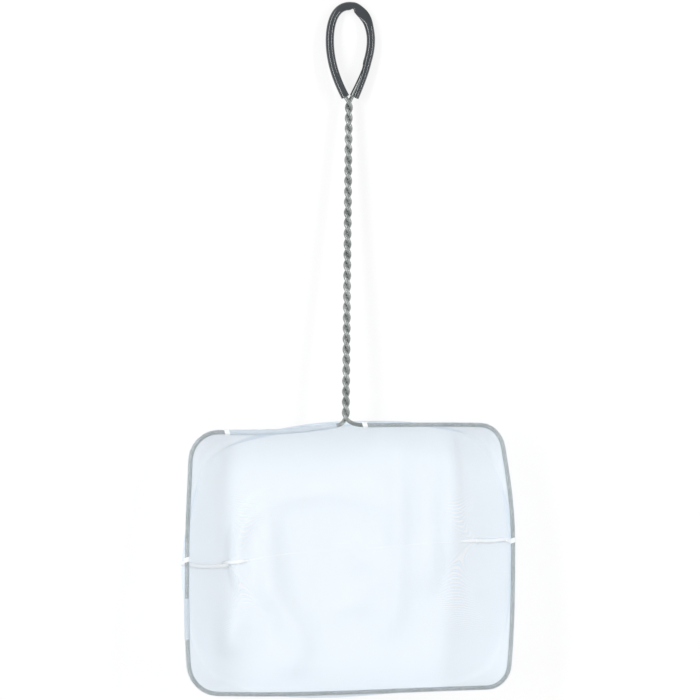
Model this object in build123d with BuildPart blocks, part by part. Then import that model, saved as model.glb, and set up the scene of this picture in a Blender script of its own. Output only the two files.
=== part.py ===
from build123d import *
import os
from itertools import pairwise
from math import asin, cos, hypot, pi, radians, sin, sqrt

# Aquarium fish net, lying mouth up with its bag slumped under the hoop and its loop on the table.
# +Y runs along the handle to the loop, +Z is up, and the origin is under the middle of the net.

# Wire
wire_d = 2.4
strand_gap = 0.1
twist_pitch = 12.9
twist_turns = 15
twist_start = 4.5
handle_shift = 2.6
handle_lean = 0.57

# Hoop, measured from the throat in the plane of the net
hoop_half_width = 99.4
hoop_depth = 164.2
left_corner_r = 17.5
right_corner_r = 13.5
near_left_draw = 2.0
near_right_draw = 5.9
far_left_draw = 1.1
far_right_draw = 2.3
near_left_drop = 4.3
far_right_lift = 3.9
seam_left_y = -82.4
seam_right_y = -70.8
throat_left_x = -7.0
throat_right_x = 7.5
throat_slope = 10.0
near_right_flare = 9.5
far_right_flare = 5.0
far_left_flare = 4.0
near_left_flare = 2.0
run_bow = 1.5

# Loop and its sleeve, measured from the top of the twist
loop_length = 59.3
loop_half_width = 12.6
loop_belly = 38.5
loop_shift = 0.7
leg_slope = 26.0
leg_spread = 2.1
sleeve_od = 4.7
sleeve_wall = 0.85
sleeve_left_lead = 3.2
sleeve_right_lead = 4.0
crown_lead = 1.6
crown_drop = 0.15
crown_slope = 6.0
kink_lead = 7.0
kink_drop = 3.6
kink_slope = 42.0
kink_width = 6.6
kink_thickness = 3.0
heel_in = 1.2
heel_drop = 11.2
heel_slope = 76.0
slit_length = 21.0
slit_gap = 1.4
slit_shift = 0.6
slit_steps = 6
kink_steps = 6

# Cloth
throat_height = 22.0
hem_wall = 0.35
hem_clearance = 0.1
mouth_clearance = 0.1
bag_wall = 0.8
belly_rise = 0.5
belly_near_out = 6.0
belly_far_out = 3.5
belly_side_in = 5.0
base_side_in = 13.0
base_end_out = 2.0
fold_spread = 0.65
fold_depth = 1.0
seam_width = 2.4
seam_wall = 1.6
seam_clearance = 0.1

# Folds of the slumped floor: shares of the half width, the depth and the height at each point
left_fold = [
    (-0.50, 0.25, 0.16),
    (-0.50, 0.33, 0.27),
    (-0.50, 0.45, 0.41),
    (-0.50, 0.55, 0.46),
    (-0.49, 0.62, 0.52),
    (-0.42, 0.69, 0.43),
    (-0.33, 0.77, 0.43),
    (-0.31, 0.84, 0.43),
    (-0.36, 0.92, 0.28),
]
middle_fold = [
    (0.30, 0.04, 0.18),
    (0.30, 0.12, 0.34),
    (0.30, 0.21, 0.41),
    (0.30, 0.33, 0.50),
    (0.30, 0.51, 0.51),
    (0.29, 0.63, 0.45),
    (0.27, 0.71, 0.38),
    (0.23, 0.78, 0.24),
]
right_fold = [
    (0.50, 0.09, 0.16),
    (0.50, 0.20, 0.24),
    (0.50, 0.36, 0.24),
    (0.50, 0.51, 0.40),
    (0.51, 0.58, 0.30),
    (0.52, 0.63, 0.16),
]
left_rumple = [(-0.65, 0.65, 0.18), (-0.69, 0.73, 0.36), (-0.74, 0.83, 0.36)]

# Thread tacks
tack_length = 3.2
tack_wall = 0.3
tack_clearance = 0.05
upper_tack_shift = 3.5

wire_r = wire_d / 2
sleeve_r = sleeve_od / 2
hem_r = wire_r + hem_clearance + hem_wall
tack_r = hem_r + tack_clearance + tack_wall
helix_r = wire_r + strand_gap / 2
twist_length = twist_turns * twist_pitch
handle_top_x = twist_length * sin(radians(handle_lean)) - handle_shift
handle_top_y = twist_length * cos(radians(handle_lean)) + twist_start
loop_top_y = handle_top_y + loop_length

# The net leans from the slumped bag down to the loop, which lies on the table
lean = asin((throat_height - sleeve_r) / loop_top_y)
reach_near = loop_top_y * cos(lean) + sleeve_r
reach_far = hoop_depth * cos(lean) + max(belly_far_out, hem_r)
throat_y = (reach_far - reach_near) / 2
net_plane = Plane((0, throat_y, throat_height), x_dir=(1, 0, 0), z_dir=(0, sin(lean), cos(lean)))


# A station is a point on a path with the direction that the path has there
def station(x, y, heading, z=0.0):
    return Vector(x, y, z), Vector(cos(radians(heading)), sin(radians(heading)), 0)


def on_net(stations):
    origin = net_plane.from_local_coords(Vector(0, 0, 0))
    placed = []
    for point, tangent in stations:
        direction = net_plane.from_local_coords(tangent) - origin
        placed.append((net_plane.from_local_coords(point), direction))
    return placed


def backwards(stations):
    return [(point, tangent * -1) for point, tangent in reversed(stations)]


# A smooth path of tangent arcs, two from each station to the next
def arcs_through(stations):
    for (start, leave), (end, arrive) in pairwise(stations):
        chord = end - start
        along = chord.dot(leave + arrive)
        opening = 2 * (1 - leave.dot(arrive))
        if opening < 1e-9:
            handle = chord.dot(chord) / (2 * along)
        else:
            handle = (sqrt(along**2 + opening * chord.dot(chord)) - along) / opening
        lead_in = start + leave * handle
        lead_out = end - arrive * handle
        middle = (lead_in + lead_out) * 0.5
        bend(start, middle, leave)
        bend(middle, end, (lead_out - lead_in).normalized())


def bend(start, end, leave):
    if leave.cross((end - start).normalized()).length < 1e-6:
        Line(start, end)
    else:
        TangentArc(start, end, tangent=leave)


def across(path):
    return Plane(path @ 0, z_dir=path % 0)


# Twisted handle: stations of one strand every quarter turn, a left-hand lay
handle_plane = Plane(
    net_plane.from_local_coords(Vector(-handle_shift, twist_start, 0)),
    x_dir=net_plane.z_dir,
    z_dir=net_plane.x_dir * sin(radians(handle_lean)) + net_plane.y_dir * cos(radians(handle_lean)),
)
quarters = 4 * twist_turns


def strand_stations(phase):
    placed = []
    for quarter in range(quarters + 1):
        turn = phase + quarter * pi / 2
        front = handle_plane.x_dir * cos(turn) - handle_plane.y_dir * sin(turn)
        sideways = handle_plane.x_dir * -sin(turn) - handle_plane.y_dir * cos(turn)
        climb = handle_plane.z_dir * (twist_length * quarter / quarters)
        tangent = sideways * helix_r + handle_plane.z_dir * (twist_pitch / (2 * pi))
        placed.append((handle_plane.origin + climb + front * helix_r, tangent.normalized()))
    return placed


front_strand = strand_stations(0)
back_strand = strand_stations(pi)

# Hoop stations, clockwise from the right of the throat
near_right_x = hoop_half_width - near_right_draw
far_right_x = hoop_half_width - far_right_draw
far_left_x = far_left_draw - hoop_half_width
near_left_x = near_left_draw - hoop_half_width
far_right_y = far_right_lift - hoop_depth
seam_right = station(hoop_half_width, seam_right_y, -90)
seam_left = station(-hoop_half_width, seam_left_y, 90)
near_left_end = station(near_left_x + left_corner_r, -near_left_drop, -run_bow)
hoop_right = [
    station(throat_right_x, 0, 0),
    station(near_right_x - right_corner_r, 0, -run_bow),
    station(near_right_x, -right_corner_r, near_right_flare - 90),
    seam_right,
]
hoop_far = [
    seam_right,
    station(far_right_x, far_right_y + right_corner_r, -90 - far_right_flare),
    station(far_right_x - right_corner_r, far_right_y, 180 + run_bow),
    station(far_left_x + left_corner_r, -hoop_depth, 180 - run_bow),
    station(far_left_x, left_corner_r - hoop_depth, 90 + far_left_flare),
    seam_left,
]
hoop_left = [
    seam_left,
    station(near_left_x, -near_left_drop - left_corner_r, 90 - near_left_flare),
    near_left_end,
    station(throat_left_x, 0, throat_slope),
]
hoop = hoop_right + hoop_far[1:-1] + hoop_left

# Loop stations: the strands open out, lie flat by the top and are hidden by the sleeve
loop_x = handle_top_x + loop_shift
loop_belly_y = handle_top_y + loop_belly
left_leg = [
    station(handle_top_x - leg_spread, handle_top_y + sleeve_left_lead, 90 + leg_slope, wire_r),
    station(loop_x - loop_half_width, loop_belly_y, 90, wire_r / 2),
    station(loop_x, loop_top_y, 0),
    station(loop_x + crown_lead, loop_top_y - crown_drop, -crown_slope),
]
right_leg = [
    station(loop_x + loop_half_width - heel_in, loop_top_y - heel_drop, -heel_slope, -wire_r / 4),
    station(loop_x + loop_half_width, loop_belly_y, -90, -wire_r / 2),
    station(handle_top_x + leg_spread, handle_top_y + sleeve_right_lead, -90 - leg_slope, -wire_r),
]
kink = station(loop_x + kink_lead, loop_top_y - kink_drop, -kink_slope)


def wire_along(stations):
    with BuildLine() as path:
        arcs_through(stations)
    with BuildSketch(across(path.line)) as section:
        Circle(wire_r)
    sweep(section.sketch, path.line)


def tube_along(stations, outer_r, bore_r):
    with BuildLine() as path:
        arcs_through(stations)
    with BuildSketch(across(path.line)) as section:
        Circle(outer_r)
        Circle(bore_r, mode=Mode.SUBTRACT)
    sweep(section.sketch, path.line)


os.makedirs("parts", exist_ok=True)

with BuildPart() as strand_front:
    wire_along(front_strand)
strand_front.part.label = "strand_front"
export_step(strand_front.part, "parts/strand_front.step")

with BuildPart() as strand_back:
    wire_along(back_strand)
strand_back.part.label = "strand_back"
export_step(strand_back.part, "parts/strand_back.step")

with BuildPart() as rim_wire:
    wire_along(backwards(front_strand[:1]) + on_net(hoop) + back_strand[:1])
rim_wire.part.label = "rim_wire"
export_step(rim_wire.part, "parts/rim_wire.step")

with BuildPart() as loop_leg_left:
    wire_along(front_strand[-1:] + on_net(left_leg))
loop_leg_left.part.label = "loop_leg_left"
export_step(loop_leg_left.part, "parts/loop_leg_left.step")

with BuildPart() as loop_leg_right:
    wire_along(on_net(right_leg) + backwards(back_strand[-1:]))
loop_leg_right.part.label = "loop_leg_right"
export_step(loop_leg_right.part, "parts/loop_leg_right.step")

# Sleeve: a round tube on each leg, and between them the empty stretch, which has folded flat
with BuildLine() as left_path:
    arcs_through(on_net(left_leg))
with BuildLine() as kink_path:
    arcs_through(on_net(left_leg[-1:] + [kink] + right_leg[:1]))
with BuildLine() as right_path:
    arcs_through(on_net(right_leg))


def kink_level(at, inset):
    flat = sin(pi * at) ** 2
    wide = sleeve_r + (kink_width / 2 - sleeve_r) * flat - inset
    thin = sleeve_r + (kink_thickness / 2 - sleeve_r) * flat - inset
    path = kink_path.line
    with BuildSketch(Plane(path @ at, x_dir=net_plane.z_dir, z_dir=path % at)) as level:
        Ellipse(thin, wide)
    return level.sketch.face()


def sleeve_form(inset, mode):
    for path in (left_path.line, right_path.line):
        with BuildSketch(across(path)) as section:
            Circle(sleeve_r - inset)
        sweep(section.sketch, path, mode=mode)
    loft([kink_level(at / kink_steps, inset) for at in range(kink_steps + 1)], mode=mode)


# The slit opens the front of the right leg, wider towards its end
def slit_edge(side):
    path = right_path.line
    edge = []
    for step in range(slit_steps + 1):
        at = 1 - slit_length / right_path.wire().length * (1 - step / slit_steps)
        point = net_plane.to_local_coords(path @ at)
        ahead = net_plane.to_local_coords(net_plane.origin + path % at)
        shift = side * slit_gap / 2 * sqrt(step / slit_steps) - slit_shift
        edge.append((point.X - ahead.Y * shift, point.Y + ahead.X * shift))
    return edge


with BuildPart() as grip_sleeve:
    sleeve_form(0, Mode.ADD)
    sleeve_form(sleeve_wall, Mode.SUBTRACT)
    with BuildSketch(net_plane) as slit:
        with BuildLine():
            Polyline(*slit_edge(1), *reversed(slit_edge(-1)[1:]), close=True)
        make_face()
    extrude(slit.sketch, amount=sleeve_od, mode=Mode.SUBTRACT)
grip_sleeve.part.label = "grip_sleeve"
export_step(grip_sleeve.part, "parts/grip_sleeve.step")

with BuildPart() as hem_right:
    tube_along(on_net(hoop_right), hem_r, hem_r - hem_wall)
hem_right.part.label = "hem_right"
export_step(hem_right.part, "parts/hem_right.step")

with BuildPart() as hem_far:
    tube_along(on_net(hoop_far), hem_r, hem_r - hem_wall)
hem_far.part.label = "hem_far"
export_step(hem_far.part, "parts/hem_far.step")

with BuildPart() as hem_left:
    tube_along(on_net(hoop_left), hem_r, hem_r - hem_wall)
hem_left.part.label = "hem_left"
export_step(hem_left.part, "parts/hem_left.step")

# Bag: levels from the mouth under the hem, over the slumped belly, to the base on the table
middle_y = -hoop_depth / 2
mouth_plane = net_plane.offset(-tack_r - mouth_clearance)
belly_plane = Plane(
    (0, throat_y, throat_height * belly_rise),
    x_dir=(1, 0, 0),
    z_dir=(0, sin(lean * belly_rise), cos(lean * belly_rise)),
)


def bag_level(plane, side_in, near_out, far_out, inset):
    outline = []
    for point, tangent in hoop:
        inward = Vector(tangent.Y, -tangent.X)
        x = point.X * (1 - side_in / hoop_half_width)
        share = (point.Y - middle_y) / -middle_y
        y = point.Y + share * (near_out if share > 0 else far_out)
        outline.append((Vector(x, y) + inward * inset, tangent))
    with BuildSketch(plane) as level:
        with BuildLine():
            arcs_through(outline)
            Line(outline[-1][0], outline[0][0])
        make_face()
    return level.sketch.face()


# One side of a fold, a round ridge over its points; the under side is smaller and cuts through the floor
def fold_form(fold, drop, depth, mode):
    levels = []
    for place in range(len(fold)):
        side, along, rise = fold[place]
        before = fold[max(place - 1, 0)]
        after = fold[min(place + 1, len(fold) - 1)]
        run_x = (after[0] - before[0]) * hoop_half_width
        run_y = (before[1] - after[1]) * hoop_depth
        origin = (side * hoop_half_width, throat_y - along * hoop_depth, 0)
        height = rise * throat_height - drop
        foot = rise * throat_height * fold_spread - drop
        with BuildSketch(Plane(origin, x_dir=(-run_y, run_x, 0), z_dir=(run_x, run_y, 0))) as level:
            with BuildLine():
                EllipticalCenterArc((0, -depth), foot, height + depth, start_angle=0, arc_size=180)
                Line((-foot, -depth), (foot, -depth))
            make_face()
        levels.append(level.sketch.face())
    loft(levels, ruled=True, mode=mode)


def bag_form(wall):
    for inset in (0, wall):
        mouth = bag_level(mouth_plane, 0, 0, 0, inset - wall / 2)
        belly = bag_level(belly_plane, belly_side_in, belly_near_out, belly_far_out, inset)
        base_plane = Plane((0, throat_y, inset))
        base = bag_level(base_plane, base_side_in, base_end_out, base_end_out, inset)
        loft([mouth, belly, base], mode=Mode.SUBTRACT if inset else Mode.ADD)
    for fold in (left_fold, middle_fold, right_fold, left_rumple):
        fold_form(fold, 0, 0, Mode.ADD)
        fold_form(fold, wall, fold_depth, Mode.SUBTRACT)


# The seam crosses the bag from one side of the hoop to the other
seam_slope = (seam_right_y - seam_left_y) / (2 * hoop_half_width)
seam_run = hypot(1, seam_slope)
seam_plane = Plane(
    (0, throat_y + (seam_left_y + seam_right_y) / 2 * cos(lean), 0),
    x_dir=(1 / seam_run, seam_slope / seam_run, 0),
    z_dir=(-seam_slope / seam_run, 1 / seam_run, 0),
)
seam_half = seam_width / 2

with BuildPart() as handle_panel:
    bag_form(bag_wall)
    split(bisect_by=seam_plane.offset(seam_half + seam_clearance), keep=Keep.TOP)
handle_panel.part.label = "handle_panel"
export_step(handle_panel.part, "parts/handle_panel.step")

with BuildPart() as far_panel:
    bag_form(bag_wall)
    split(bisect_by=seam_plane.offset(-seam_half - seam_clearance), keep=Keep.BOTTOM)
far_panel.part.label = "far_panel"
export_step(far_panel.part, "parts/far_panel.step")

with BuildPart() as bag_seam:
    bag_form(seam_wall)
    split(bisect_by=seam_plane.offset(seam_half), keep=Keep.BOTTOM)
    split(bisect_by=seam_plane.offset(-seam_half), keep=Keep.TOP)
bag_seam.part.label = "bag_seam"
export_step(bag_seam.part, "parts/bag_seam.step")


# Tacks: short wraps of thread round the hem
def tack_on(placed, shift):
    point, tangent = on_net([placed])[0]
    with BuildSketch(Plane(point + tangent * (shift - tack_length / 2), z_dir=tangent)) as wrap:
        Circle(tack_r)
        Circle(tack_r - tack_wall, mode=Mode.SUBTRACT)
    extrude(wrap.sketch, amount=tack_length)


with BuildPart() as tack_left:
    tack_on(seam_left, 0)
tack_left.part.label = "tack_left"
export_step(tack_left.part, "parts/tack_left.step")

with BuildPart() as tack_right:
    tack_on(seam_right, 0)
tack_right.part.label = "tack_right"
export_step(tack_right.part, "parts/tack_right.step")

with BuildPart() as tack_upper_left:
    tack_on(near_left_end, upper_tack_shift)
tack_upper_left.part.label = "tack_upper_left"
export_step(tack_upper_left.part, "parts/tack_upper_left.step")

with BuildPart() as tack_throat:
    tack_on(hoop[0], tack_length / 2)
tack_throat.part.label = "tack_throat"
export_step(tack_throat.part, "parts/tack_throat.step")
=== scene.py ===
import bpy
import math
import numpy as np
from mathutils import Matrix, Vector, noise
from mathutils.bvhtree import BVHTree


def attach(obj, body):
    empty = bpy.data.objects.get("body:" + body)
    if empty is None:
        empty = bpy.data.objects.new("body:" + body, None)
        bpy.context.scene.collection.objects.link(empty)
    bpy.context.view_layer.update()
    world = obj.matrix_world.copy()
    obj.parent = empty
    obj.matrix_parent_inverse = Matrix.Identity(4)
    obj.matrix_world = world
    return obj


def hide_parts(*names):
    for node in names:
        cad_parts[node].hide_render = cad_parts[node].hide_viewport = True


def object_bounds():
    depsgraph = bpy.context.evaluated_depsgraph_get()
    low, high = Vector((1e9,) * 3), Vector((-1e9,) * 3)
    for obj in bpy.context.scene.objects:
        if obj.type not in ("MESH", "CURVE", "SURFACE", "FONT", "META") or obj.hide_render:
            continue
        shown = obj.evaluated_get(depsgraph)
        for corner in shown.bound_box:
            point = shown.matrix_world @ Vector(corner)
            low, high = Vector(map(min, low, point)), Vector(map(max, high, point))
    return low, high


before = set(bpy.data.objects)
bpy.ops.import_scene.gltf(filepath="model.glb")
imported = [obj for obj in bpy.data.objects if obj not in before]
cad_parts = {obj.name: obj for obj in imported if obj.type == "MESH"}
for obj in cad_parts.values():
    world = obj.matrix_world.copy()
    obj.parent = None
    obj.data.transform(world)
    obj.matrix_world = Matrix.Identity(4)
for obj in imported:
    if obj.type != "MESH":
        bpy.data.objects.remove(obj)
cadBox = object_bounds()
mm = 0.001
print("frame loaded:", len(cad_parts), "nodes")

# the net in its own plane, in mm: x across, y along the handle, throat at 0, 0
net = {
    "throatHeight": 22.0,
    "wireR": 1.2,
    "strandGap": 0.1,
    "twistPitch": 12.9,
    "twistTurns": 15,
    "twistStart": 4.5,
    "handleShift": 2.6,
    "handleLean": math.radians(0.57),
    "loopLength": 59.3,
    "sleeveR": 2.35,
}
twistLength = net["twistPitch"] * net["twistTurns"]
handleTop = Vector((
    twistLength * math.sin(net["handleLean"]) - net["handleShift"],
    twistLength * math.cos(net["handleLean"]) + net["twistStart"],
    0,
))
loopTop = handleTop.y + net["loopLength"]
netLean = math.asin((net["throatHeight"] - net["sleeveR"]) / loopTop)
throatY = cadBox[1].y / mm - loopTop * math.cos(netLean) - net["sleeveR"]
netOrigin = Vector((0, throatY, net["throatHeight"]))
netX = Vector((1, 0, 0))
netY = Vector((0, math.cos(netLean), -math.sin(netLean)))
netZ = Vector((0, math.sin(netLean), math.cos(netLean)))


def turned(v):
    return netX * v[0] + netY * v[1] + netZ * v[2]


def onNet(v):
    return (netOrigin + turned(v)) * mm


def station(x, y, heading, z=0.0):
    a = math.radians(heading)
    return Vector((x, y, z)), Vector((math.cos(a), math.sin(a), 0))


# the hoop, clockwise from the right of the throat
seamRight = station(99.4, -70.8, -90)
seamLeft = station(-99.4, -82.4, 90)
hoopRight = [station(7.5, 0, 0), station(80, 0, -1.5), station(93.5, -13.5, -80.5), seamRight]
hoopFar = [
    seamRight,
    station(97.1, -146.8, -95),
    station(83.6, -160.3, 181.5),
    station(-80.8, -164.2, 178.5),
    station(-98.3, -146.7, 94),
    seamLeft,
]
hoopLeft = [seamLeft, station(-97.4, -21.8, 88), station(-79.9, -4.3, -1.5), station(-7, 0, 10)]


def deselect():
    bpy.ops.object.select_all(action="DESELECT")


def activate(piece):
    deselect()
    piece.select_set(True)
    bpy.context.view_layer.objects.active = piece


def applyModifier(piece, kind, **settings):
    activate(piece)
    m = piece.modifiers.new(kind.title(), kind)
    for name, value in settings.items():
        setattr(m, name, value)
    bpy.ops.object.modifier_apply(modifier=m.name)


def editMesh(piece, *steps):
    activate(piece)
    bpy.ops.object.mode_set(mode="EDIT")
    bpy.ops.mesh.select_all(action="SELECT")
    for step in steps:
        step()
    bpy.ops.object.mode_set(mode="OBJECT")


def meshPiece(name, verts, faces):
    me = bpy.data.meshes.new(name)
    me.from_pydata([tuple(v) for v in verts], [], faces)
    piece = bpy.data.objects.new(name, me)
    bpy.context.scene.collection.objects.link(piece)
    return piece


def shadeSmooth(piece, angle=40):
    activate(piece)
    bpy.ops.object.shade_smooth_by_angle(angle=math.radians(angle))


# how far a curve handle reaches for a turn between two stations
def handleReach(a, b):
    chord = (b[0] - a[0]).length
    turn = a[1].angle(b[1])
    if turn < 1e-3:
        return chord / 3
    return chord * 4 / 3 * math.tan(turn / 4) / (2 * math.sin(turn / 2))


# a smooth curve through stations, in mm on the net
def curveThrough(name, stations, steps=10):
    deselect()
    bpy.ops.curve.primitive_bezier_curve_add()
    path = bpy.context.object
    path.name = name
    spline = path.data.splines[0]
    spline.bezier_points.add(len(stations) - 2)
    path.data.resolution_u = steps
    reaches = [handleReach(a, b) for a, b in zip(stations, stations[1:])]
    for i, (point, tangent) in enumerate(stations):
        knot = spline.bezier_points[i]
        knot.handle_left_type = knot.handle_right_type = "FREE"
        knot.co = onNet(point)
        knot.handle_left = onNet(point - tangent * reaches[max(i - 1, 0)])
        knot.handle_right = onNet(point + tangent * reaches[min(i, len(reaches) - 1)])
    return path


def madeMesh(path, radius, roundness=5):
    path.data.bevel_depth = radius * mm
    path.data.bevel_resolution = roundness
    path.data.use_fill_caps = True
    activate(path)
    bpy.ops.object.convert(target="MESH")
    return bpy.context.object


# points along a curve through stations, evenly spaced, in mm on the net
def evenLine(stations, spacing):
    points = []
    for a, b in zip(stations, stations[1:]):
        reach = handleReach(a, b)
        p = [a[0], a[0] + a[1] * reach, b[0] - b[1] * reach, b[0]]
        for t in np.linspace(0, 1, 40, endpoint=False):
            s = 1 - t
            points.append(p[0] * s**3 + p[1] * 3 * s * s * t + p[2] * 3 * s * t * t + p[3] * t**3)
    points.append(stations[-1][0])
    line = np.array(points)
    far = np.r_[0, np.cumsum(np.linalg.norm(np.diff(line, axis=0), axis=1))]
    count = max(2, round(far[-1] / spacing) + 1) if spacing > 0 else -spacing
    at = np.linspace(0, far[-1], count)
    return np.stack([np.interp(at, far, line[:, k]) for k in range(3)], axis=1)


def dressed(piece, slot, material, *nodes):
    piece.data.materials.clear()
    piece.data.materials.append(material)
    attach(piece, "root")
    if nodes:
        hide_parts(*nodes)


# shader maths as plain expressions
class Value:
    def __init__(self, shade, socket):
        self.shade = shade
        self.socket = socket

    def maths(self, operation, other, flip=False):
        pair = (other, self) if flip else (self, other)
        return self.shade.add("ShaderNodeMath", {"operation": operation}, {0: pair[0], 1: pair[1]})

    def __add__(self, other):
        return self.maths("ADD", other)

    def __sub__(self, other):
        return self.maths("SUBTRACT", other)

    def __mul__(self, other):
        return self.maths("MULTIPLY", other)

    def __truediv__(self, other):
        return self.maths("DIVIDE", other)

    def __rsub__(self, other):
        return self.maths("SUBTRACT", other, flip=True)

    def __mod__(self, other):
        return self.maths("FLOORED_MODULO", other)

    __radd__ = __add__
    __rmul__ = __mul__

    def above(self, other):
        return self.maths("MAXIMUM", other)

    def size(self):
        return self.maths("ABSOLUTE", 0.0)

    def between(self, low, high):
        return self.shade.add(
            "ShaderNodeMapRange",
            {"interpolation_type": "SMOOTHSTEP"},
            {"Value": self, "From Min": low, "From Max": high},
        )


class Shade:
    def __init__(self, name):
        self.material = bpy.data.materials.new(name)
        self.material.use_nodes = True
        self.tree = self.material.node_tree
        self.main = self.tree.nodes["Principled BSDF"]

    def add(self, kind, settings=None, sockets=None, out=0):
        node = self.tree.nodes.new(kind)
        for name, value in (settings or {}).items():
            if name == "stops":
                self.ramp(node.color_ramp, value)
            else:
                setattr(node, name, value)
        self.feed(node, sockets or {})
        return Value(self, node.outputs[out])

    def ramp(self, ramp, stops):
        while len(ramp.elements) < len(stops):
            ramp.elements.new(0.5)
        for element, (place, colour) in zip(ramp.elements, stops):
            element.position = place
            element.color = (*colour, 1)

    def feed(self, node, sockets):
        for name, value in sockets.items():
            if isinstance(value, Value):
                self.tree.links.new(value.socket, node.inputs[name])
            else:
                node.inputs[name].default_value = value

    def set(self, **sockets):
        self.feed(self.main, {name.replace("_", " "): value for name, value in sockets.items()})

    def place(self):
        return self.add("ShaderNodeTexCoord", out=3)

    def uv(self):
        return self.add("ShaderNodeTexCoord", out=2)

    def split(self, vector):
        node = self.add("ShaderNodeSeparateXYZ", sockets={0: vector}).socket.node
        return [Value(self, node.outputs[k]) for k in range(3)]

    def noise(self, vector, scale, detail=2.0, roughness=0.5):
        return self.add(
            "ShaderNodeTexNoise",
            sockets={"Vector": vector, "Scale": scale, "Detail": detail, "Roughness": roughness},
        )

    def mix(self, share, one, two):
        return self.add("ShaderNodeMix", {"data_type": "RGBA"}, {0: share, 6: one, 7: two}, out=2)

    def bump(self, height, strength, distance):
        return self.add(
            "ShaderNodeBump", sockets={"Height": height, "Strength": strength, "Distance": distance}
        )


def galvanisedWire():
    s = Shade("galvanised wire")
    at = s.place()
    cloud = s.noise(at, 90, 3)
    spangle = s.add("ShaderNodeTexVoronoi", sockets={"Vector": at, "Scale": 700})
    dullness = s.noise(at, 420, 4, 0.7)
    tone = (cloud * 0.6 + spangle * 0.35).between(0.2, 0.75)
    s.set(
        Base_Color=s.mix(tone, (0.20, 0.225, 0.215, 1), (0.42, 0.445, 0.435, 1)),
        Roughness=dullness * 0.3 + 0.24,
        Normal=s.bump(dullness + cloud * 0.5, 0.25, 0.0001),
    )
    s.set(Metallic=0.6)
    return s.material


def gripVinyl():
    s = Shade("grip vinyl")
    at = s.place()
    cloud = s.noise(at, 60, 2)
    grain = s.noise(at, 1500, 3)
    s.set(
        Base_Color=s.mix(cloud, (0.024, 0.029, 0.034, 1), (0.046, 0.053, 0.062, 1)),
        Roughness=cloud * 0.12 + 0.10,
        Normal=s.bump(grain + cloud, 0.1, 0.0001),
    )
    s.set(IOR=1.5, Specular_IOR_Level=0.4, Coat_Weight=0.6, Coat_Roughness=0.07)
    return s.material


# fine knitted mesh: slanting threads cross on the cloth's own map, which is in mm
def netCloth(name, cover, tint=(0.76, 0.85, 0.935)):
    s = Shade(name)
    across, along, _ = s.split(s.uv())
    pitch = 0.9
    wander = s.noise(s.uv(), 0.35, 2) * 0.5
    one = ((across + along + wander) / pitch % 1.0 - 0.5).size()
    two = ((across - along - wander) / pitch % 1.0 - 0.5).size()
    half = (1 - math.sqrt(1 - cover)) / 2
    thread = one.above(two).between(0.5 - half * 1.3, 0.5 - half * 0.7)
    cloud = s.noise(s.place(), 45, 3)
    s.set(
        Base_Color=s.mix(cloud, (*[c * 0.97 for c in tint], 1), (*tint, 1)),
        Roughness=cloud * 0.15 + 0.6,
        Alpha=thread * 0.9 + 0.06,
        Normal=s.bump(thread, 0.3, 0.0002),
    )
    s.set(Sheen_Weight=0.15, Sheen_Roughness=0.4)
    return s.material


def sewingThread():
    s = Shade("sewing thread")
    at = s.place()
    lay = s.add(
        "ShaderNodeTexWave",
        {"bands_direction": "DIAGONAL"},
        {"Vector": at, "Scale": 900, "Distortion": 3.0},
    )
    fuzz = s.noise(at, 800, 3)
    s.set(
        Base_Color=s.mix(fuzz, (0.86, 0.89, 0.91, 1), (0.95, 0.97, 0.98, 1)),
        Roughness=fuzz * 0.2 + 0.55,
        Normal=s.bump(lay, 0.4, 0.0001),
    )
    s.set(Sheen_Weight=0.2)
    return s.material


def paleFloor():
    s = Shade("pale floor")
    speck = s.noise(s.place(), 12, 2)
    s.set(Base_Color=s.mix(speck, (0.93, 0.935, 0.94, 1), (0.95, 0.955, 0.96, 1)), Roughness=0.9)
    rays = s.add("ShaderNodeLightPath").socket.node
    seen = Value(s, rays.outputs["Is Camera Ray"])
    for kind in ("Is Glossy Ray", "Is Transmission Ray"):
        seen = seen.above(Value(s, rays.outputs[kind]))
    glow = s.add("ShaderNodeEmission", sockets={"Color": (1, 1, 1, 1), "Strength": 1.0})
    share = seen * studio["floorWhite"]
    both = s.add("ShaderNodeMixShader", sockets={0: share, 1: Value(s, s.main.outputs[0]), 2: glow})
    s.tree.links.new(both.socket, s.tree.nodes["Material Output"].inputs["Surface"])
    return s.material


studio = {
    "distance": 6.0,
    "viewWidth": 0.427,
    "viewLevel": 0.028,
    "floorSize": 40.0,
    "floorWhite": 0.8,
    "worldLight": 0.56,
    "keyPower": 21.0,
    "keyPlace": (-1.2, 0.25, 1.3),
    "keySize": (2.4, 0.3),
    "fillPower": 11.0,
    "fillPlace": (1.3, 0.1, 1.0),
    "fillSize": (1.6, 0.15),
}


def areaLamp(name, place, power, size):
    deselect()
    bpy.ops.object.light_add(type="AREA", location=place)
    lamp = bpy.context.object
    lamp.name = name
    lamp.data.energy = power
    lamp.data.shape = "RECTANGLE"
    lamp.data.size, lamp.data.size_y = size
    lamp.rotation_euler = (-Vector(place)).to_track_quat("-Z", "Y").to_euler()


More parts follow.
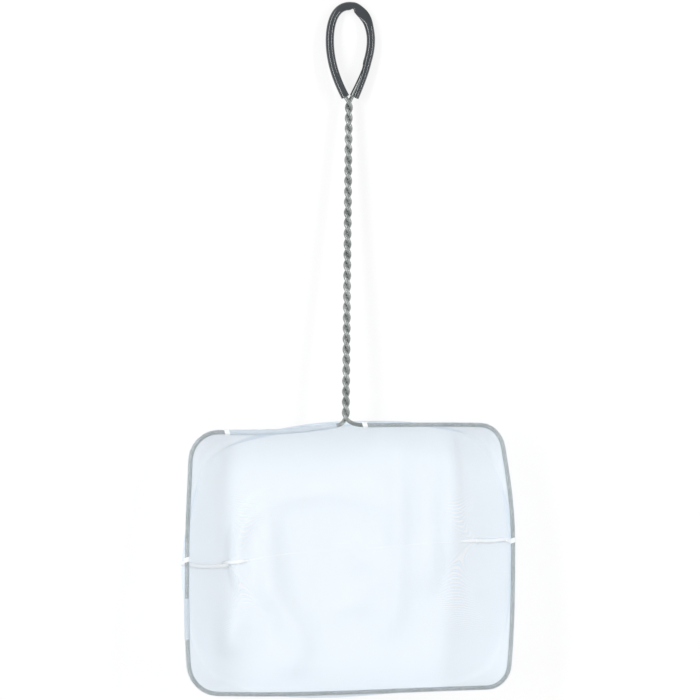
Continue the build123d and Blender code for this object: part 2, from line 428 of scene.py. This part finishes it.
def makeStudio():
    scene = bpy.context.scene
    scene.view_settings.view_transform = "Standard"
    deselect()
    bpy.ops.object.camera_add(location=(0, 0, studio["distance"] + studio["viewLevel"]))
    camera = bpy.context.object
    camera.data.sensor_width = 36
    camera.data.lens = 36 * studio["distance"] / studio["viewWidth"]
    scene.camera = camera
    deselect()
    bpy.ops.mesh.primitive_plane_add(size=studio["floorSize"])
    floor = bpy.context.object
    floor.name = "tableTop"
    floor.data.materials.append(paleFloor())
    areaLamp("keyLamp", studio["keyPlace"], studio["keyPower"], studio["keySize"])
    areaLamp("fillLamp", studio["fillPlace"], studio["fillPower"], studio["fillSize"])
    world = bpy.data.worlds.new("softRoom")
    scene.world = world
    world.use_nodes = True
    tree = world.node_tree
    rays = tree.nodes.new("ShaderNodeLightPath")
    level = tree.nodes.new("ShaderNodeMapRange")
    level.inputs["To Min"].default_value = studio["worldLight"]
    level.inputs["To Max"].default_value = 1.0
    tree.links.new(rays.outputs["Is Camera Ray"], level.inputs["Value"])
    tree.links.new(level.outputs[0], tree.nodes["Background"].inputs["Strength"])
    tree.nodes["Background"].inputs["Color"].default_value = (1, 1, 1, 1)


makeStudio()
print("studio ready")

finish = {
    "wire": galvanisedWire(),
    "vinyl": gripVinyl(),
    "cloth": netCloth("mesh cloth", 0.60),
    "hem": netCloth("hem cloth", 0.26),
    "double": netCloth("doubled hem cloth", 0.70),
    "thread": sewingThread(),
}
print("finishes ready")

# the wire: loop, left strand down, hoop, right strand up, loop
wire = {"steps": 6, "roundness": 6}


def strandStations(phase):
    axis = Vector((math.sin(net["handleLean"]), math.cos(net["handleLean"]), 0))
    side = Vector((axis.y, -axis.x, 0))
    front = Vector((0, 0, 1))
    helixR = net["wireR"] + net["strandGap"] / 2
    start = Vector((-net["handleShift"], net["twistStart"], 0))
    quarters = 4 * net["twistTurns"]
    made = []
    for quarter in range(quarters + 1):
        turn = phase + quarter * math.pi / 2
        out = front * math.cos(turn) - side * math.sin(turn)
        sideways = front * -math.sin(turn) - side * math.cos(turn)
        point = start + axis * (twistLength * quarter / quarters) + out * helixR
        made.append((point, (sideways * helixR + axis * net["twistPitch"] / (2 * math.pi)).normalized()))
    return made


def backwards(stations):
    return [(point, -tangent) for point, tangent in reversed(stations)]


loopX = handleTop.x + 0.7
leftLeg = [
    station(handleTop.x - 2.1, handleTop.y + 3.2, 118, net["wireR"]),
    station(loopX - 12.4, handleTop.y + 38.0, 90, net["wireR"] / 2),
    station(loopX - 0.3, loopTop, 0),
]
leftEnd = [station(loopX + 1.6, loopTop - 0.15, -6)]
kinkMiddle = station(loopX + 7.0, loopTop - 3.6, -42)
rightEnd = [station(loopX + 11.4, loopTop - 11.2, -76, -net["wireR"] / 4)]
rightLeg = [
    station(loopX + 12.8, handleTop.y + 38.5, -90, -net["wireR"] / 2),
    station(handleTop.x + 2.1, handleTop.y + 4.0, -116, -net["wireR"]),
]


def makeWire():
    front = strandStations(0)
    back = strandStations(math.pi)
    hoop = hoopRight + hoopFar[1:-1] + hoopLeft
    stations = backwards(leftLeg + leftEnd) + backwards(front) + hoop + back + backwards(rightEnd + rightLeg)
    piece = madeMesh(curveThrough("frameWire", stations, wire["steps"]), net["wireR"], wire["roundness"])
    shadeSmooth(piece)
    nodes = ("rim_wire", "strand_front", "strand_back", "loop_leg_left", "loop_leg_right")
    dressed(piece, "wire", finish["wire"], *nodes)


makeWire()
print("wire made")

# the sleeve: a tube round the loop, flattened at its kink and slit on its right leg
sleeve = {
    "wall": 0.75,
    "around": 32,
    "spacing": 0.45,
    "kinkAt": 74.0,
    "kinkLong": 7.0,
    "kinkWide": 3.3,
    "kinkThin": 1.15,
    "pinchAt": 66.2,
    "pinchLong": 1.6,
    "pinchBy": 0.62,
    "slitFrom": 104.0,
    "slitSide": 168.0,
    "slitOpen": 115.0,
    "lipR": 1.72,
    "lipFrom": 138.0,
    "lipTo": 265.0,
    "lipSteps": 12,
    "peelOff": 2.2,
    "peelNarrow": 0.5,
    "radius": 2.58,
}


def makeSleeve():
    line = evenLine(leftLeg + leftEnd + [kinkMiddle] + rightEnd + rightLeg, sleeve["spacing"])
    length = sleeve["spacing"] * (len(line) - 1)
    ahead = np.gradient(line, axis=0)
    around = sleeve["around"]
    verts, faces = [], []
    for i, (centre, way) in enumerate(zip(line, ahead)):
        at = length * i / (len(line) - 1)
        t = Vector(way).normalized()
        outer = t.cross(Vector((0, 0, 1))) * -1
        flat = math.exp(-((at - sleeve["kinkAt"]) / sleeve["kinkLong"]) ** 2)
        pinch = math.exp(-((at - sleeve["pinchAt"]) / sleeve["pinchLong"]) ** 2)
        peel = max(0.0, (at - sleeve["slitFrom"]) / (length - sleeve["slitFrom"]))
        wide = sleeve["radius"] + (sleeve["kinkWide"] - sleeve["radius"]) * flat
        wide -= sleeve["pinchBy"] * pinch + sleeve["peelNarrow"] * peel
        thin = sleeve["radius"] + (sleeve["kinkThin"] - sleeve["radius"]) * flat
        kinkShift = 0.5 * (sleeve["kinkWide"] - sleeve["radius"]) * flat
        shift = sleeve["pinchBy"] * pinch - kinkShift + sleeve["peelOff"] * peel
        gap = peel**0.4
        half = math.radians(sleeve["slitOpen"]) * gap / 2
        first = math.radians(sleeve["slitSide"])
        for k in range(around + 1):
            turn = first + half + (2 * math.pi - 2 * half) * k / around
            rise = Vector((0, 0, thin * math.sin(turn)))
            spot = Vector(centre) + outer * (wide * math.cos(turn) + shift) + rise
            verts.append(onNet(spot))
    for i in range(len(line) - 1):
        for k in range(around):
            a = i * (around + 1) + k
            faces.append((a, a + 1, a + around + 2, a + around + 1))
    lip = [i for i in range(len(line)) if length * i / (len(line) - 1) > sleeve["slitFrom"]]
    start, steps = len(verts), sleeve["lipSteps"]
    for i in lip:
        outer = Vector(ahead[i]).normalized().cross(Vector((0, 0, 1))) * -1
        for k in range(steps + 1):
            turn = math.radians(sleeve["lipFrom"] + (sleeve["lipTo"] - sleeve["lipFrom"]) * k / steps)
            out = outer * math.cos(turn) + Vector((0, 0, math.sin(turn)))
            verts.append(onNet(Vector(line[i]) + out * sleeve["lipR"]))
    for i in range(len(lip) - 1):
        for k in range(steps):
            a = start + i * (steps + 1) + k
            faces.append((a, a + 1, a + steps + 2, a + steps + 1))
    piece = meshPiece("gripSleeve", verts, faces)
    editMesh(
        piece,
        lambda: bpy.ops.mesh.remove_doubles(threshold=0.00002),
        lambda: bpy.ops.mesh.normals_make_consistent(inside=False),
    )
    applyModifier(piece, "SOLIDIFY", thickness=sleeve["wall"] * mm * 0.6, offset=-1)
    shadeSmooth(piece)
    dressed(piece, "sleeve", finish["vinyl"], "grip_sleeve")


makeSleeve()
print("sleeve made")

# the hems: mesh folded round the wire
hem = {"radius": 1.55, "ripple": 0.12, "overlapRadius": 1.72}


def clothTube(name, line, radius):
    around = 16
    verts, faces, map2d = [], [], []
    ahead = np.gradient(line, axis=0)
    far = np.r_[0, np.cumsum(np.linalg.norm(np.diff(line, axis=0), axis=1))]
    for i, (centre, way) in enumerate(zip(line, ahead)):
        t = Vector(way).normalized()
        outer = t.cross(Vector((0, 0, 1)))
        for k in range(around):
            turn = 2 * math.pi * k / around
            spot = Vector(centre)
            out = outer * math.cos(turn) + Vector((0, 0, math.sin(turn)))
            swell = noise.noise(spot * 0.23 + out * 0.7) + 0.5 * noise.noise(spot * 0.9 + out)
            verts.append(onNet(spot + out * (radius + hem["ripple"] * swell)))
    for i in range(len(line) - 1):
        for k in range(around):
            a, b = i * around + k, i * around + (k + 1) % around
            faces.append((a, b, b + around, a + around))
            edge = 2 * math.pi * radius / around
            low, high = k * edge, (k + 1) * edge
            map2d += [(far[i], low), (far[i], high), (far[i + 1], high), (far[i + 1], low)]
    piece = meshPiece(name, verts, faces)
    layer = piece.data.uv_layers.new(name="cloth")
    layer.data.foreach_set("uv", np.array(map2d, np.float32).ravel())
    editMesh(piece, lambda: bpy.ops.mesh.normals_make_consistent(inside=False))
    shadeSmooth(piece, 60)
    return piece


hems = {}
for name, stations, node in (
    ("hemRight", hoopRight, "hem_right"),
    ("hemFar", hoopFar, "hem_far"),
    ("hemLeft", hoopLeft, "hem_left"),
):
    hems[name] = clothTube(name, evenLine(stations, 1.2), hem["radius"])
    dressed(hems[name], "mesh", finish["hem"], node)
print("hems made")

# the bag: two sewn panels that hang from the hoop, then slump on the table
bag = {
    "columns": 68,
    "rows": 40,
    "depth": 58.0,
    "keelHalf": 84.0,
    "taper": 0.30,
    "keelLean": 6.0,
    "hang": 1.6,
    "unevenness": 10.0,
    "unevenSize": 0.08,
    "unevenShift": (8.4, 6.1, 0.6),
    "unevenBelow": 0.03,
    "seed": 8,
    "seamSlope": 0.0583,
    "seamMiddle": -76.6,
}
cloth = {
    "steps": 260,
    "rise": 150,
    "rounds": 14,
    "fall": 0.1,
    "keep": 0.94,
    "grip": 0.95,
    "shear": 0.35,
    "bend": 0.15,
    "squeeze": 0.3,
    "push": 1.4,
    "least": 0.001,
    "touch": 0.01,
    "below": -50.0,
    "rest": 0.35,
    "layers": (2.6, 0.8),
    "wall": 0.8,
    "foldTop": 13.0,
    "floorHalf": 82.0,
    "spread": 0.65,
    "smoothing": 8,
}
# creases of the photo: shares of the half width, the depth and the height
creases = [
    [(-0.67, 0.65, 0.20), (-0.69, 0.52, 0.34), (-0.67, 0.39, 0.36), (-0.56, 0.31, 0.31), (-0.37, 0.27, 0.25)],
    [(-0.37, 0.27, 0.25), (-0.15, 0.25, 0.21), (0.06, 0.27, 0.24), (0.24, 0.32, 0.28), (0.36, 0.38, 0.20)],
    [(-0.03, 0.46, 0.18), (0.11, 0.51, 0.36), (0.23, 0.56, 0.39), (0.13, 0.61, 0.31), (0.01, 0.64, 0.18)],
    [(-0.09, 0.69, 0.17), (0.09, 0.67, 0.25), (0.31, 0.71, 0.17)],
]
creaseScale = np.array((99.4, -164.2, net["throatHeight"]))


def bagRow(line, turn):
    rows = []
    drop = math.sin(turn)
    for c, (x, y, _) in enumerate(line):
        share = drop**3
        px = x * (1 - bag["taper"] * drop**1.3) * (1 - share)
        px += bag["keelHalf"] * (2 * c / bag["columns"] - 1) * share
        keelY = bag["seamMiddle"] + px * bag["seamSlope"]
        py = keelY + (y - keelY) * math.cos(turn) + bag["keelLean"] * drop**2
        rows.append((px, py, -bag["hang"] - bag["depth"] * drop))
    return rows


def makeBag():
    near = np.concatenate([evenLine(hoopLeft, 0.5), evenLine(hoopRight, 0.5)])
    far = evenLine(hoopFar, 0.5)[::-1]
    wide = bag["columns"] + 1
    verts, faces, map2d = [], [], []
    for line in (near, far):
        run = np.r_[0, np.cumsum(np.linalg.norm(np.diff(line, axis=0), axis=1))]
        at = np.linspace(0, run[-1], wide)
        even = np.stack([np.interp(at, run, line[:, k]) for k in range(3)], axis=1)
        base = len(verts)
        for r in range(bag["rows"] + 1):
            verts += bagRow(even, math.pi / 2 * r / bag["rows"])
        grid = np.array(verts[base:]).reshape(bag["rows"] + 1, wide, 3)
        u = np.cumsum(np.pad(np.linalg.norm(np.diff(grid, axis=1), axis=2), ((0, 0), (1, 0))), axis=1)
        u -= u[:, -1:] / 2
        v = np.cumsum(np.pad(np.linalg.norm(np.diff(grid, axis=0), axis=2), ((1, 0), (0, 0))), axis=0)
        for r in range(bag["rows"]):
            for c in range(bag["columns"]):
                i = base + r * wide + c
                faces.append((i, i + 1, i + wide + 1, i + wide))
                map2d += [(u[a, b], v[a, b]) for a, b in ((r, c), (r, c + 1), (r + 1, c + 1), (r + 1, c))]
    piece = meshPiece("bagCloth", [onNet(v) for v in verts], faces)
    layer = piece.data.uv_layers.new(name="cloth")
    layer.data.foreach_set("uv", np.array(map2d, np.float32).ravel())
    side = piece.data.attributes.new("panel", "INT", "FACE")
    side.data.foreach_set("value", [int(f >= len(faces) // 2) for f in range(len(faces))])
    return piece


def mouthRing(piece):
    uses = {}
    for p in piece.data.polygons:
        for key in p.edge_keys:
            uses[key] = uses.get(key, 0) + 1
    return sorted({v for key, n in uses.items() if n == 1 for v in key})


# the floor of the solid bag with its folds, looked down on at every mm, without the walls
def solidFloor():
    trees = []
    for node in ("handle_panel", "far_panel"):
        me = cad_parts[node].data
        trees.append(BVHTree.FromPolygons([v.co for v in me.vertices], [p.vertices for p in me.polygons]))
    low, high = cadBox[0] / mm, cadBox[1] / mm
    heights = np.zeros((int(high.x - low.x) + 1, int(high.y - low.y) + 1))
    for column, row in np.ndindex(heights.shape):
        above = Vector((low.x + column, low.y + row, high.z + 1)) * mm
        for tree in trees:
            spot = tree.ray_cast(above, Vector((0, 0, -1)))[0]
            if spot and spot.z / mm < cloth["foldTop"] and abs(spot.x / mm) < cloth["floorHalf"]:
                heights[column, row] = max(heights[column, row], spot.z / mm - cloth["wall"])
    return heights


# how high the folds and creases hold the cloth off the table
def foldHeight(floor, x, y):
    column = np.clip(np.rint(x - cadBox[0].x / mm), 0, floor.shape[0] - 1).astype(int)
    row = np.clip(np.rint(y - cadBox[0].y / mm), 0, floor.shape[1] - 1).astype(int)
    height = floor[column, row]
    for crease in creases:
        points = np.array(crease) * creaseScale + np.array((0, throatY, 0))
        for a, b in zip(points, points[1:]):
            run = b[:2] - a[:2]
            t = np.clip(((x - a[0]) * run[0] + (y - a[1]) * run[1]) / (run @ run), 0, 1)
            away = np.hypot(x - a[0] - run[0] * t, y - a[1] - run[1] * t)
            rise = a[2] + (b[2] - a[2]) * t
            foot = rise * cloth["spread"] - cloth["wall"]
            crown = np.sqrt(np.clip(1 - (away / foot) ** 2, 0, 1))
            height = np.maximum(height, (rise - cloth["wall"]) * crown)
    return height


# threads along, across and over the corners of the weave, with how firmly each holds
def clothTies(piece):
    ties, beyond = {}, {}
    for p in piece.data.polygons:
        a, b, c, d = p.vertices
        ties[a, c] = ties[b, d] = cloth["shear"]
        for one, two, nextTwo, nextOne in ((a, b, c, d), (b, c, d, a), (c, d, a, b), (d, a, b, c)):
            ties[min(one, two), max(one, two)] = 1.0
            beyond.setdefault((min(one, two), max(one, two)), []).append({one: nextOne, two: nextTwo})
    for (one, two), sides in beyond.items():
        if len(sides) == 2:
            ties[sides[0][one], sides[1][one]] = cloth["bend"]
            ties[sides[0][two], sides[1][two]] = cloth["bend"]
    pairs = np.array(list(ties))
    return pairs[:, 0], pairs[:, 1], np.array(list(ties.values()))


# the cloth falls while the table comes up under it, until it lies still
def slump(piece):
    me = piece.data
    pins = np.array(mouthRing(piece))
    noise.seed_set(bag["seed"])  # without a seed the noise follows the clock
    for v in me.vertices:
        give = min(1.0, max(0.0, (net["throatHeight"] * mm - v.co.z) / bag["unevenBelow"]))
        place = v.co / bag["unevenSize"] + Vector(bag["unevenShift"])
        v.co += noise.noise_vector(place) * bag["unevenness"] * mm * give
    spots = np.array([v.co[:] for v in me.vertices]) / mm
    count = len(spots)
    one, two, firm = clothTies(piece)
    length = np.linalg.norm(spots[two] - spots[one], axis=1)
    share = np.bincount(one, minlength=count) + np.bincount(two, minlength=count)
    held = spots[pins].copy()
    # cloth nearer the mouth lies on top, and the far panel on the handle panel
    layer = np.sqrt((spots[:, 2] - spots[:, 2].min()) / np.ptp(spots[:, 2]))
    seamY = throatY + bag["seamMiddle"] + bag["seamSlope"] * spots[:, 0]
    layer *= np.where(spots[:, 1] < seamY, *cloth["layers"])
    before = spots.copy()
    floor = solidFloor()
    for step in range(cloth["steps"]):
        level = cloth["rest"] + cloth["below"] * max(0.0, 1 - step / cloth["rise"])
        swell = min(1.0, step / cloth["rise"])
        start = spots.copy()
        spots = spots + (spots - before) * cloth["keep"]
        spots[:, 2] -= cloth["fall"]
        before = start
        ground = level + layer + swell * foldHeight(floor, spots[:, 0], spots[:, 1])
        for turn in range(cloth["rounds"]):
            gap = spots[two] - spots[one]
            far = np.maximum(np.linalg.norm(gap, axis=1), cloth["least"])
            strain = 1 - length / far
            strain[strain < 0] *= cloth["squeeze"]
            pull = gap * (firm * strain)[:, None]
            for k in range(3):
                move = np.bincount(one, pull[:, k], count) - np.bincount(two, pull[:, k], count)
                spots[:, k] += cloth["push"] * move / share
            spots[pins] = held
            spots[:, 2] = np.maximum(spots[:, 2], ground)
        low = spots[:, 2] <= ground + cloth["touch"]
        spots[low, :2] += (start[low, :2] - spots[low, :2]) * cloth["grip"]
        spots[pins] = held
    for v, spot in zip(me.vertices, spots):
        v.co = Vector(spot) * mm
    loose = sorted(set(range(count)) - set(pins.tolist()))
    piece.vertex_groups.new(name="loose").add(loose, 1.0, "REPLACE")
    applyModifier(piece, "SMOOTH", factor=0.5, iterations=cloth["smoothing"], vertex_group="loose")
    piece.vertex_groups.clear()


def facesOf(piece, panel):
    copy = piece.copy()
    copy.data = piece.data.copy()
    bpy.context.scene.collection.objects.link(copy)
    activate(copy)
    bpy.ops.object.mode_set(mode="EDIT")
    bpy.ops.mesh.select_all(action="DESELECT")
    bpy.ops.object.mode_set(mode="OBJECT")
    which = copy.data.attributes["panel"].data
    for p in copy.data.polygons:
        p.select = which[p.index].value != panel
    bpy.ops.object.mode_set(mode="EDIT")
    bpy.ops.mesh.delete(type="FACE")
    bpy.ops.object.mode_set(mode="OBJECT")
    return copy


# the points along which the two panels meet, from left to right
def seamLine(piece):
    sides = {}
    for p in piece.data.polygons:
        for key in p.edge_keys:
            sides.setdefault(key, set()).add(piece.data.attributes["panel"].data[p.index].value)
    links = {}
    for (a, b), panelsHere in sides.items():
        if len(panelsHere) == 2:
            links.setdefault(a, []).append(b)
            links.setdefault(b, []).append(a)
    ends = [v for v, near in links.items() if len(near) == 1]
    walk = [min(ends, key=lambda v: piece.data.vertices[v].co.x)]
    while len(walk) < len(links):
        ahead = [v for v in links[walk[-1]] if v not in walk[-2:]]
        if not ahead:
            break
        walk.append(ahead[0])
    return [piece.data.vertices[v].co.copy() for v in walk]


bagCloth = makeBag()
editMesh(
    bagCloth,
    lambda: bpy.ops.mesh.remove_doubles(threshold=0.00005),
    lambda: bpy.ops.mesh.normals_make_consistent(inside=False),
)
panelAreas = [0.0, 0.0]
for p in bagCloth.data.polygons:
    panelAreas[bagCloth.data.attributes["panel"].data[p.index].value] += p.area
slump(bagCloth)
print("bag slumped")
applyModifier(bagCloth, "SUBSURF", levels=1, render_levels=1)
seamPoints = seamLine(bagCloth)
for number, (name, node) in enumerate((("handlePanel", "handle_panel"), ("farPanel", "far_panel"))):
    piece = facesOf(bagCloth, number)
    piece.name = name
    shadeSmooth(piece, 180)
    dressed(piece, "mesh", finish["cloth"], node)
bpy.data.objects.remove(bagCloth)
print("panels made", [round(a, 4) for a in panelAreas])


# a mesh of threads from lists of points, each point with its share of the radius
def threads(name, lines, radius, roundness=3):
    deselect()
    bpy.ops.curve.primitive_bezier_curve_add()
    piece = bpy.context.object
    piece.name = name
    piece.data.splines.clear()
    piece.data.resolution_u = 3
    for line in lines:
        spline = piece.data.splines.new("NURBS")
        spline.points.add(len(line) - 1)
        spline.use_endpoint_u = True
        spline.order_u = 3
        for knot, (spot, share) in zip(spline.points, line):
            knot.co = (*spot, 1)
            knot.radius = share
    piece = madeMesh(piece, radius, roundness)
    shadeSmooth(piece, 60)
    return piece


# the overlocked seam, thick on the two walls and thin under the bag
seam = {"radius": 1.3, "left": -67.0, "right": 73.0, "taper": 6.0, "thin": 0.13, "lift": 0.6, "sink": 0.15}


def makeSeam():
    line = []
    for spot in seamPoints:
        inside = min(spot.x / mm - seam["left"], seam["right"] - spot.x / mm)
        under = min(1.0, max(0.0, inside / seam["taper"]))
        lift = seam["lift"] - (seam["lift"] + seam["sink"]) * under
        line.append((spot + Vector((0, 0, lift * mm)), 1 - (1 - seam["thin"]) * under))
    piece = threads("bagSeam", [line], seam["radius"], 4)
    dressed(piece, "thread", finish["thread"], "bag_seam")


makeSeam()
print("seam made")

# bar tacks: thread wound round the hem
tack = {"radius": 1.78, "thread": 0.21, "turns": 8, "length": 3.0, "slant": 0.7}
tackPlaces = (
    ("tackLeft", seamLeft, -0.5, "tack_left"),
    ("tackRight", seamRight, -0.5, "tack_right"),
    ("tackUpperLeft", hoopLeft[2], 1.17, "tack_upper_left"),
    ("tackThroat", hoopRight[0], 0.1, "tack_throat"),
)


def makeTack(name, place, shift, node):
    point, ahead = place
    side = ahead.cross(Vector((0, 0, 1)))
    steps = 14 * tack["turns"]
    line = []
    for i in range(steps + 1):
        turn = 2 * math.pi * tack["turns"] * i / steps
        wobble = 1 + 0.05 * math.sin(turn * 0.37 + len(name))
        out = (side * math.cos(turn) + Vector((0, 0, 1)) * math.sin(turn)) * tack["radius"] * wobble
        along = ahead * (tack["length"] * (i / steps + shift) + tack["slant"] * math.cos(turn))
        line.append((onNet(point + along + out), 1.0))
    piece = threads(name, [line], tack["thread"])
    dressed(piece, "thread", finish["thread"], node)


for places in tackPlaces:
    makeTack(*places)
print("tacks made")

# cloth that lies double over the hem, on the near left run and on the left side
overlaps = {
    "hemOverlapNear": {"run": hoopLeft[2:], "from": 0.08, "to": 0.99},
    "hemOverlapLeft": {"run": hoopFar[4:], "from": 0.25, "to": 0.64},
}
for name, o in overlaps.items():
    line = evenLine(o["run"], 1.2)
    piece = clothTube(name, line[int(o["from"] * len(line)):int(o["to"] * len(line))], hem["overlapRadius"])
    dressed(piece, "mesh", finish["double"])
print("hem overlaps made")

# running stitches that close the hem, low on its inner side
stitch = {"pitch": 4.2, "length": 2.4, "radius": 0.16, "inward": 1.25, "down": 1.05}


def makeStitches():
    lines = []
    for run in (hoopRight, hoopFar, hoopLeft):
        line = evenLine(run, stitch["pitch"])
        for a, b in zip(line[1:-2], line[2:-1]):
            ahead = Vector(b - a).normalized()
            inward = ahead.cross(Vector((0, 0, 1))) * stitch["inward"]
            base = Vector(a) + inward - Vector((0, 0, stitch["down"]))
            rise = Vector((0, 0, 0.12))
            lines.append([
                (onNet(base), 0.7),
                (onNet(base + ahead * stitch["length"] / 2 + rise), 1.0),
                (onNet(base + ahead * stitch["length"]), 0.7),
            ])
    piece = threads("hemStitches", lines, stitch["radius"], 2)
    dressed(piece, "thread", finish["thread"])


makeStitches()
print("stitches made")
